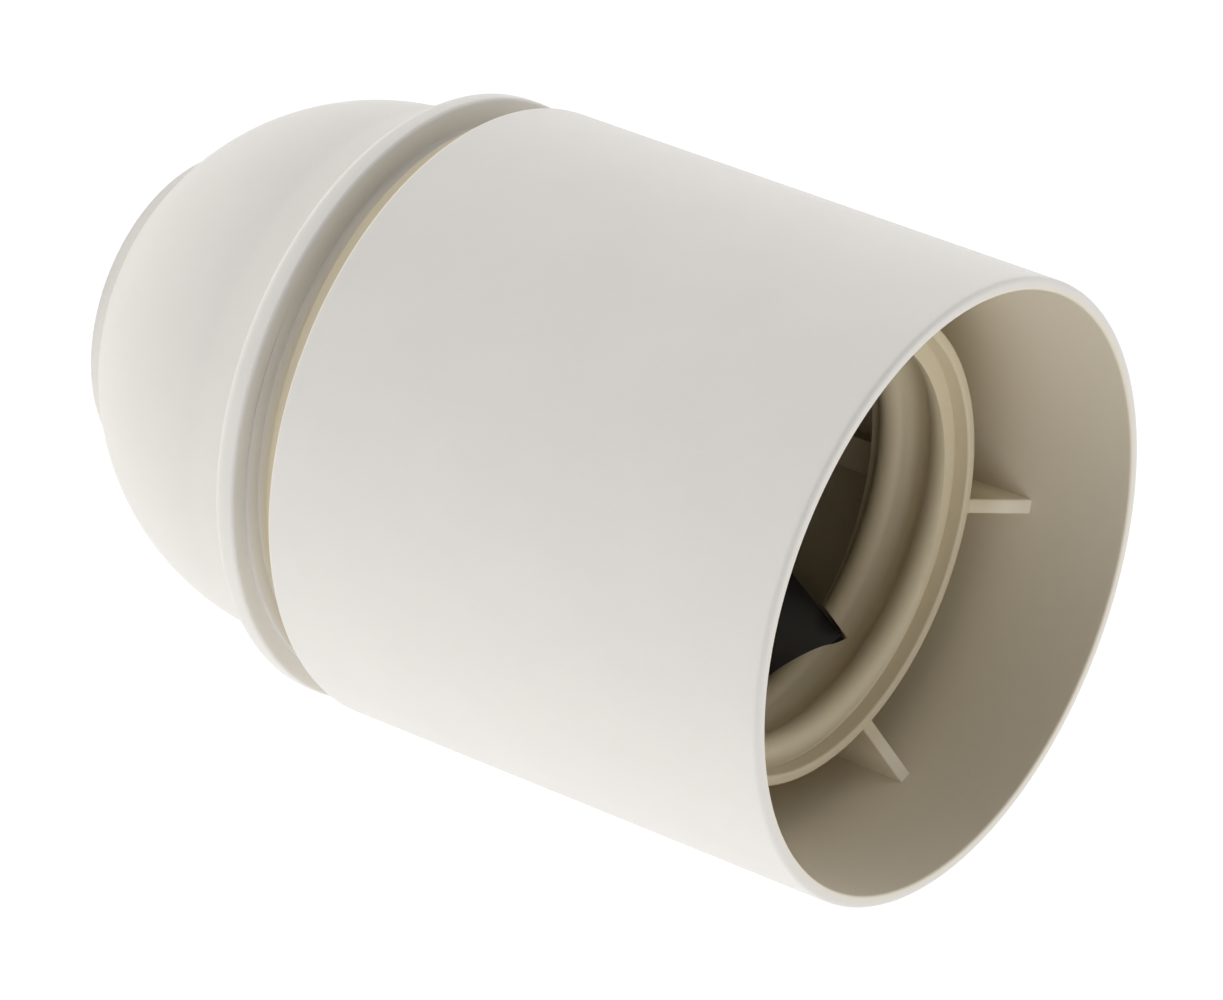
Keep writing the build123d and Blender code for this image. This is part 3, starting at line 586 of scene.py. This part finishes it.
class HOLDER_OT_materials(bpy.types.Operator):
    """Make the finishes of every piece"""
    bl_idname = "holder.materials"
    bl_label = "Finishes"

    def execute(self, context):
        tone = context.scene.holder_colours
        white_plastic(tone.plastic, tone.painted_inside_shade)
        black_plastic(tone.black)
        sheet_metal("rolled_brass", tone.brass, 0.22, (0.15, 1.0, 1.0))
        sheet_metal("rolled_bronze", tone.bronze, 0.20, (1.0, 1.0, 0.12))
        sheet_metal("turned_brass", tone.brass, 0.14, (1.0, 1.0, 4.0))
        sheet_metal("zinc_steel", tone.steel, 0.24, (1.0, 1.0, 1.0))
        return {"FINISHED"}


def join_ridge(foot_r, grow, top_z):
    """The coarse thread's ridge from a foot radius up, grown as a cutter for its groove."""
    sizes = bpy.context.scene.holder_threads
    cap = bpy.context.scene.holder_cap
    pitch, depth = sizes.join_pitch / MM, sizes.join_depth / MM
    tip_r = cap.collar_r / MM + depth + grow
    crest = sizes.join_crest / MM / 2 + grow
    flank = (sizes.join_base - sizes.join_crest) / MM / 2 / depth
    foot = crest + flank * (tip_r - foot_r)
    low = (cap.flange_z + cap.flange + sizes.join_start) / MM - 2 * pitch
    line = Outline((foot_r, low - foot), (tip_r, low - crest), (tip_r, low + crest), (foot_r, low + foot))
    return coil(line.finish(), pitch, (top_z - low) / pitch, sizes.steps)


def lamp_ridge(low, top_z):
    """The lamp thread's round ridge from the bore of the sleeve inwards."""
    sizes = bpy.context.scene.holder_threads
    pitch, minor, major = sizes.lamp_pitch / MM, sizes.lamp_minor / MM, sizes.lamp_major / MM
    depth = major - minor
    radius = ((pitch / 2) ** 2 + depth ** 2) / (4 * depth)
    foot_r = major - sizes.lamp_land / MM / 2
    swing = degrees(atan2(pitch / 4, radius - depth / 2))
    start = degrees(asin(sqrt(radius ** 2 - (foot_r - major + radius) ** 2) / radius))
    foot = pitch / 2 - radius * sin(radians(start))
    arc_steps = 7
    line = Outline((foot_r + ROOT_BITE, low - foot), (foot_r, low - foot))
    line.turn(major - radius, low - pitch / 2, start - swing, arc_steps)
    line.turn(minor + radius, low, 2 * swing, 2 * arc_steps)
    line.turn(major - radius, low + pitch / 2, start - swing, arc_steps)
    line.to(foot_r + ROOT_BITE, low + foot)
    return coil(line.finish(), pitch, (top_z - low) / pitch, sizes.steps)


def fine_groove(crest_r, root_r, pitch, low, high, steps):
    """A cutter for a fine thread: a V groove from a crest radius to a root radius."""
    lift = 0.05 if root_r > crest_r else -0.05
    mouth_r, mouth, root = crest_r - lift, pitch * 0.46, pitch / 16
    line = Outline((mouth_r, low - mouth), (root_r, low - root), (root_r, low + root), (mouth_r, low + mouth))
    return coil(line.finish(), pitch, (high - low) / pitch, steps)


class HOLDER_OT_skirt(bpy.types.Operator):
    """Model the skirt: barrel, web, threaded sleeve, gussets and stop ribs in one moulding"""
    bl_idname = "holder.skirt"
    bl_label = "Skirt"

    def execute(self, context):
        sizes, threads = context.scene.holder_skirt, context.scene.holder_threads
        rear_z, mouth_z = sizes.rear_z / MM, sizes.mouth_z / MM
        rim_r, bore_r = (sizes.mouth_r - sizes.wall) / MM, sizes.bore_r / MM
        front_z = (sizes.mouth_z - sizes.sleeve_top) / MM
        back_z = front_z - sizes.sleeve_l / MM
        web_z = back_z + sizes.web / MM
        lead_z = front_z - sizes.lead / MM
        sleeve_r, major = sizes.sleeve_r / MM, threads.lamp_major / MM
        land_r = major - threads.lamp_land / MM
        rim_edge = sizes.rim_edge / MM
        skirt = lathe(Outline(
            (sizes.rear_r / MM, rear_z, 0.2), (sizes.mouth_r / MM, mouth_z, rim_edge),
            (rim_r, mouth_z, rim_edge / 2), (rim_r - sizes.draft / MM, web_z, 0.35), (sleeve_r, web_z, 0.25),
            (sleeve_r, front_z, 0.18), (major + sizes.flare / MM, front_z, 0.15), (land_r, lead_z),
            (land_r, back_z), (bore_r, back_z), (bore_r, rear_z, 0.12)).finish(), threads.steps)
        ridge = lamp_ridge(back_z + (threads.lamp_start - threads.lamp_pitch) / MM, front_z + OVERCUT)
        ridge = combined("INTERSECT", ridge, rod(sleeve_r - ROOT_BITE, back_z, lead_z))

        # A gusset runs from the sleeve into the wall, and a stop rib stands behind the web under it
        foot_z, foot_r, wall_r = web_z - ROOT_BITE, sleeve_r - ROOT_BITE, rim_r + 0.1
        stop_r, stop_y = bore_r - sizes.stop_depth / MM, sizes.stop_w / MM / 2
        gussets, stops = [], []
        for rib in range(sizes.ribs):
            angle = degrees(sizes.rib_turn) + 360 / sizes.ribs * rib
            blade = plate(Outline(
                (foot_r, foot_z), (foot_r, front_z - TOUCH), (sleeve_r, front_z - TOUCH),
                (wall_r, front_z + sizes.gusset_rise / MM), (wall_r, foot_z)).finish(), sizes.gusset / MM)
            free = [edge for edge in blade.edges if min(vert.co.z for vert in edge.verts) > web_z + OVERCUT]
            soften(blade, free, sizes.gusset_edge / MM, 3)
            gussets.append(turned(blade, angle))
            stop = box((stop_r, -stop_y, sizes.stop_z / MM), (bore_r + ROOT_BITE, stop_y, back_z + ROOT_BITE))
            stops.append(turned(stop, angle))
        skirt = combined("UNION", skirt, ridge, gathered(gussets), gathered(stops))

        # The thread's groove in the bore, and a gabled notch through the web for each key tower
        groove = join_ridge(bore_r - ROOT_BITE, threads.join_gap / MM, threads.groove_top / MM)
        notch_r, peak_z = sizes.notch_r / MM, back_z + sizes.notch_peak / MM
        left, right = -sizes.notch_left / MM, sizes.notch_right / MM
        start_z, depth = 25.0, 8.0
        notches = []
        for angle in (0, 180):
            gable = plate(Outline(
                (left, start_z), (left, peak_z - sizes.notch_left_fall / MM), (0, peak_z),
                (right, peak_z - sizes.notch_right_fall / MM), (right, start_z)).finish(), depth)
            bmesh.ops.translate(gable, vec=(0, notch_r - depth / 2, 0), verts=gable.verts)
            notches.append(turned(gable, angle))
        notch = combined("INTERSECT", gathered(notches), rod(notch_r, back_z - TOUCH, front_z + OVERCUT))
        skirt = combined("DIFFERENCE", skirt, groove, notch)
        settle(skirt, "skirt_moulding", "skirt", "satin_white", "white_plastic", "skirt")
        return {"FINISHED"}


class HOLDER_OT_cap(bpy.types.Operator):
    """Model the domed cap with its flange, threaded collar and threaded cable entry"""
    bl_idname = "holder.cap"
    bl_label = "Cap"

    def execute(self, context):
        sizes, threads = context.scene.holder_cap, context.scene.holder_threads
        dome_r, dome_z = sizes.dome_r / MM, sizes.dome_z / MM
        flange_r, flange_z = sizes.flange_r / MM, sizes.flange_z / MM
        front_z = flange_z + sizes.flange / MM
        collar_r, top_z = sizes.collar_r / MM, front_z + sizes.collar_h / MM
        collar_bore = collar_r - sizes.collar / MM
        entry_r, entry_bevel = sizes.entry_r / MM, sizes.entry_bevel / MM
        hub_r, hub_z, hub_bevel = sizes.hub_r / MM, sizes.hub_z / MM, sizes.hub_bevel / MM
        step_z = sizes.boss_rise / MM
        step_r = sqrt(dome_r ** 2 - (dome_z - step_z) ** 2)
        inner_r, floor_z = dome_r - sizes.wall / MM, sizes.floor_z / MM
        floor_r = sqrt(inner_r ** 2 - (dome_z - floor_z) ** 2)
        line = Outline((entry_r, entry_bevel), (entry_r + entry_bevel, 0), (sizes.boss_r / MM, 0, 0.2),
                       (step_r, step_z))
        line.turn(0, dome_z, -degrees(atan2(dome_z - step_z, step_r)), 40)
        for corner in ((dome_r + sizes.draft / MM, flange_z, 0.18),
                       (flange_r - sizes.bevel_w / MM, flange_z, 0.15),
                       (flange_r, flange_z + sizes.bevel_h / MM, 0.4), (flange_r, front_z, 0.2),
                       (collar_r, front_z, 0.15), (collar_r, top_z, 0.2), (collar_bore, top_z, 0.2),
                       (collar_bore, flange_z), (inner_r, dome_z)):
            line.to(*corner)
        line.turn(0, dome_z, degrees(atan2(dome_z - floor_z, floor_r)), 30)
        for corner in ((hub_r, floor_z, 0.3), (hub_r, hub_z, 0.2), (entry_r + hub_bevel, hub_z),
                       (entry_r, hub_z - hub_bevel)):
            line.to(*corner)
        cap = lathe(line.finish(), threads.steps)
        ridge = join_ridge(collar_r - ROOT_BITE, 0.0, top_z)
        ridge_top = top_z - threads.join_runout / MM
        ridge = combined("INTERSECT", ridge, rod(flange_r, front_z - ROOT_BITE, ridge_top))
        cap = combined("UNION", cap, ridge)
        pitch, depth = threads.entry_pitch / MM, threads.entry_depth / MM
        groove = fine_groove(entry_r, entry_r + depth, pitch, -pitch, hub_z + pitch, threads.steps // 2)
        cap = combined("DIFFERENCE", cap, groove)
        settle(cap, "cap_moulding", "cap", "satin_white", "white_plastic", "dome_cap")
        return {"FINISHED"}


class HOLDER_OT_block(bpy.types.Operator):
    """Round the edges of the contact block and its key towers"""
    bl_idname = "holder.block"
    bl_label = "Contact block"

    def execute(self, context):
        block = merged("contact_block")
        soften(block, sharp_edges(block), context.scene.holder_inner.block_edge / MM)
        moulding = settle(block, "contact_block_moulding", "contact_set", "satin_black", "black_plastic",
                          "contact_block")
        # Faces square to the axis and broad ones are plain flats
        large = 10 * MM * MM
        for face in moulding.data.polygons:
            if abs(face.normal.z) > 0.999 or len(face.vertices) > 4 and face.area > large:
                face.use_smooth = False
        return {"FINISHED"}


class HOLDER_OT_strips(bpy.types.Operator):
    """Round the stamped strips, the side contact and the clamp plates"""
    bl_idname = "holder.strips"
    bl_label = "Strips and clamps"

    def execute(self, context):
        for node, body, finish, slot in (
                ("live_strip", "contact_set", "rolled_brass", "brass"),
                ("neutral_strip", "contact_set", "rolled_brass", "brass"),
                ("side_contact", "contact_set", "rolled_bronze", "bronze"),
                ("live_clamp", "live_clamp", "zinc_steel", "plated_steel"),
                ("neutral_clamp", "neutral_clamp", "zinc_steel", "plated_steel")):
            piece = merged(node)
            soften(piece, sharp_edges(piece), context.scene.holder_inner.metal_edge / MM)
            settle(piece, node + "_stamped", body, finish, slot, node)
        return {"FINISHED"}


class HOLDER_OT_rivets(bpy.types.Operator):
    """Model the rivets with domed heads and upset ends"""
    bl_idname = "holder.rivets"
    bl_label = "Rivets"

    def execute(self, context):
        sizes = context.scene.holder_inner
        rear, front = sizes.block_rear / MM, sizes.block_front / MM
        radius, head_r, head = sizes.rivet_r / MM, sizes.rivet_head_r / MM, sizes.rivet_head / MM
        dimple_r, dimple = 0.7, 0.15
        for name, place, angle in (("live_rivet", sizes.live_rivet, 90),
                                   ("neutral_rivet", sizes.neutral_rivet, -45)):
            rivet = lathe(Outline(
                (0, rear - head), (head_r, rear - head, 0.4), (head_r, rear), (radius, rear),
                (radius, front - head), (head_r, front - head), (head_r, front, 0.12), (dimple_r, front),
                (dimple_r - dimple, front - dimple), (0, front - dimple)).finish(closed=False), steps=64)
            spot = Vector((cos(radians(angle)), sin(radians(angle)), 0)) * place / MM
            bmesh.ops.translate(rivet, vec=spot, verts=rivet.verts)
            settle(rivet, name + "_upset", "contact_set", "turned_brass", "brass_rivet", name)

        near, far = sizes.leaf_r / MM, sizes.upright_r / MM
        radius, head_r, head = sizes.side_rivet_r / MM, sizes.side_head_r / MM, sizes.side_head / MM
        side = lathe(Outline(
            (0, near - head), (0.5, near - head), (head_r, near - head, 0.2), (head_r, near), (radius, near),
            (radius, far), (head_r, far), (head_r, far + head, 0.2),
            (0, far + head)).finish(closed=False), steps=64)
        lift = Matrix.Translation((0, 0, sizes.side_rivet_z / MM)) @ Matrix.Rotation(radians(90), 4, "X")
        bmesh.ops.transform(side, matrix=lift, verts=side.verts)
        settle(side, "side_rivet_upset", "contact_set", "turned_brass", "brass_rivet", "side_rivet")
        return {"FINISHED"}


class HOLDER_OT_terminals(bpy.types.Operator):
    """Model the slotted terminal screws and their square nuts, with threads"""
    bl_idname = "holder.terminals"
    bl_label = "Terminal screws"

    def execute(self, context):
        sizes, threads = context.scene.holder_inner, context.scene.holder_threads
        radius, head_r, head_z = sizes.screw_r / MM, sizes.head_r / MM, sizes.head_z / MM
        rear, tip, point = head_z - sizes.head / MM, sizes.screw_tip / MM, sizes.screw_point / MM
        slot_y, slot_h = sizes.slot_w / MM / 2, sizes.slot_h / MM
        half, low, high = sizes.nut_side / MM / 2, sizes.nut_z / MM, (sizes.nut_z + sizes.nut) / MM
        bore, root = radius + sizes.nut_gap / MM, radius + (sizes.nut_gap + threads.nut_depth) / MM
        pitch, depth = threads.screw_pitch / MM, threads.screw_depth / MM
        # A thread's cutter runs on past the end
        run, steps = 0.6, 48
        for side, name in ((-1, "live"), (1, "neutral")):
            x = side * sizes.terminal_x / MM
            screw = lathe(Outline(
                (0, rear), (head_r, rear, 0.35), (head_r, head_z, 0.1), (radius, head_z),
                (radius, tip - point), (radius - point, tip), (0, tip)).finish(closed=False), steps=72)
            thread = fine_groove(radius, radius - depth, pitch, head_z + 0.35, tip + run, steps)
            slot = box((-4, -slot_y, rear - OVERCUT), (4, slot_y, rear + slot_h))
            screw = combined("DIFFERENCE", screw, thread, slot)
            settle(turned(screw, 0, x), name + "_screw_threaded", name + "_screw", "zinc_steel", "screw_steel",
                   name + "_screw")
            nut = box((-half, -half, low), (half, half, high), sizes.nut_edge / MM)
            thread = fine_groove(bore, root, pitch, low - run, high + run, steps)
            nut = combined("DIFFERENCE", nut, rod(bore, low - run, high + run, steps), thread)
            settle(turned(nut, 0, x), name + "_nut_threaded", "contact_set", "zinc_steel", "plated_steel",
                   name + "_nut")
        return {"FINISHED"}


class HOLDER_OT_centre(bpy.types.Operator):
    """Model the centre contact's turned pin and its coil spring"""
    bl_idname = "holder.centre"
    bl_label = "Centre contact"

    def execute(self, context):
        sizes = context.scene.holder_inner
        radius, tail_r, top = sizes.pin_r / MM, sizes.pin_tail_r / MM, sizes.pin_top / MM
        low, tail = sizes.shoulder_z / MM, sizes.pin_tail / MM
        wide, high = (sizes.pin_r + sizes.shoulder) / MM, (sizes.shoulder_z + sizes.shoulder) / MM
        pin = lathe(Outline(
            (0, low - tail), (tail_r, low - tail, 0.2), (tail_r, low), (wide, low, 0.08), (wide, high, 0.08),
            (radius, high), (radius, top, sizes.pin_dome / MM),
            (0, top)).finish(closed=False, segments=10), steps=96)
        settle(pin, "centre_pin_turned", "centre_pin", "turned_brass", "contact_brass", "centre_pin")

        wire, spring_r, foot = sizes.wire / MM / 2, sizes.spring_r / MM, sizes.spring_foot / MM
        gap, turns = 0.05, 3.5
        start, end = foot + wire + gap, low - wire - gap
        line = Outline((spring_r + wire, start)).turn(spring_r, start, 360, 12)
        spring = coil(line.finish(closed=False), (end - start) / turns, turns, steps=36)
        piece = settle(spring, "centre_spring_wire", "contact_set", "zinc_steel", "spring_steel",
                       "centre_spring")
        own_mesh(piece)
        return {"FINISHED"}


# Azimuth and height of each soft light in degrees, and its strength
SOFT_LIGHTS = ((135, 5, 0.46), (180, 5, 0.42), (20, 40, 1.16), (123, 40, 0.42), (174, 40, 0.22),
               (0, 75, 0.33), (120, 75, 0.19))

# The light from everywhere, and the cosine at which a soft light fades out
ROUND_LIGHT = 0.15
LIGHT_EDGE = 0.55

# Half the floor's width and its gap under the holder in metres, its own glow, and what the camera sees of it
FLOOR_HALF = 3.0
FLOOR_GAP = 0.00005
FLOOR_GLOW = 0.5
SEEN_GLOW = 1.03
SEEN_SHARE = 0.9

# The photo's camera, fitted to the holder's circles: its place in metres, its right and down, and its lens
PHOTO_PLACE = (0.096235, -0.264404, 0.211338)
PHOTO_RIGHT = Vector((-0.5033, 0.35277, 0.78882))
PHOTO_DOWN = Vector((0.81627, 0.49363, 0.30006))
PHOTO_LENS = 169.35
PHOTO_SENSOR = 36.0


class HOLDER_OT_stage(bpy.types.Operator):
    """Set the floor, the soft light all round and the photo's camera"""
    bl_idname = "holder.stage"
    bl_label = "Stage"

    def execute(self, context):
        scene = context.scene
        floor = bmesh.new()
        bmesh.ops.create_grid(floor, x_segments=1, y_segments=1, size=FLOOR_HALF)
        bmesh.ops.translate(floor, vec=(0, 0, -FLOOR_GAP), verts=floor.verts)
        floor = loose(floor, "floor")
        paint = Finish("floor", roughness=1.0)
        for key, value in (("Base Color", (*scene.holder_colours.floor, 1)), ("Specular IOR Level", 0.0),
                           ("Emission Color", (1, 1, 1, 1)), ("Emission Strength", FLOOR_GLOW)):
            paint.shader.inputs[key].default_value = value
        seen = paint.rays("Is Camera Ray", "Is Glossy Ray", "Is Transmission Ray")
        glow = paint.node("ShaderNodeEmission", sockets={"Color": (1, 1, 1, 1), "Strength": SEEN_GLOW})
        mix = paint.node("ShaderNodeMixShader",
                         sockets={0: seen * SEEN_SHARE, 1: paint.shader.outputs[0], 2: glow.outputs[0]})
        paint.feed(paint.tree.nodes["Material Output"].inputs["Surface"], mix.outputs[0])
        floor.data.materials.append(paint.block)

        scene.world = bpy.data.worlds.new("soft_light")
        light = Graph(scene.world)
        way = light.node("ShaderNodeTexCoord").outputs["Generated"]
        level = ROUND_LIGHT
        for azimuth, height, strength in SOFT_LIGHTS:
            turn, rise = radians(azimuth), radians(height)
            aim = (cos(turn) * cos(rise), sin(turn) * cos(rise), sin(rise))
            level = level + light.dot(way, aim).ramp(LIGHT_EDGE, 1.0) * strength
        seen = light.rays("Is Camera Ray", "Is Transmission Ray")
        background = light.tree.nodes["Background"]
        background.inputs["Color"].default_value = (1, 1, 1, 1)
        light.feed(background.inputs["Strength"], level * (1 - seen) + seen)

        camera = bpy.data.cameras.new("photo_camera")
        camera.lens = PHOTO_LENS
        camera.sensor_width = PHOTO_SENSOR
        camera.clip_start = 0.01
        view = bpy.data.objects.new("photo_camera", camera)
        facing = Matrix((PHOTO_RIGHT, -PHOTO_DOWN, PHOTO_RIGHT.cross(-PHOTO_DOWN))).transposed()
        view.matrix_world = Matrix.Translation(PHOTO_PLACE) @ facing.to_4x4()
        scene.collection.objects.link(view)
        scene.camera = view
        scene.view_settings.view_transform = "Standard"
        return {"FINISHED"}


class HOLDER_PT_panel(bpy.types.Panel):
    """Sizes, colours and steps of the lamp holder"""
    bl_idname = "HOLDER_PT_panel"
    bl_label = "Lamp holder"
    bl_space_type = "VIEW_3D"
    bl_region_type = "UI"
    bl_category = "Lamp holder"

    def draw(self, context):
        for name in GROUPS:
            group = getattr(context.scene, name)
            part = self.layout.box()
            for key in group.bl_rna.properties.keys():
                if key not in ("rna_type", "name"):
                    part.prop(group, key)
        for operator in OPERATORS:
            self.layout.operator(operator.bl_idname)


GROUPS = {"holder_skirt": SkirtSizes, "holder_cap": CapSizes, "holder_threads": ThreadSizes,
          "holder_inner": InnerSizes, "holder_colours": HolderColours}
OPERATORS = (HOLDER_OT_materials, HOLDER_OT_skirt, HOLDER_OT_cap, HOLDER_OT_block, HOLDER_OT_strips,
             HOLDER_OT_rivets, HOLDER_OT_terminals, HOLDER_OT_centre, HOLDER_OT_stage)


def register():
    for group in GROUPS.values():
        bpy.utils.register_class(group)
    for name, group in GROUPS.items():
        setattr(bpy.types.Scene, name, PointerProperty(type=group))
    for cls in (*OPERATORS, HOLDER_PT_panel):
        bpy.utils.register_class(cls)


def unregister():
    for cls in (HOLDER_PT_panel, *reversed(OPERATORS)):
        bpy.utils.unregister_class(cls)
    for name in GROUPS:
        delattr(bpy.types.Scene, name)
    for group in reversed(GROUPS.values()):
        bpy.utils.unregister_class(group)


def main():
    """Registers the panel and its steps, and builds the whole holder in order."""
    register()
    for operator in OPERATORS:
        group, name = operator.bl_idname.split(".")
        getattr(getattr(bpy.ops, group), name)()


if __name__ == "__main__":
    main()
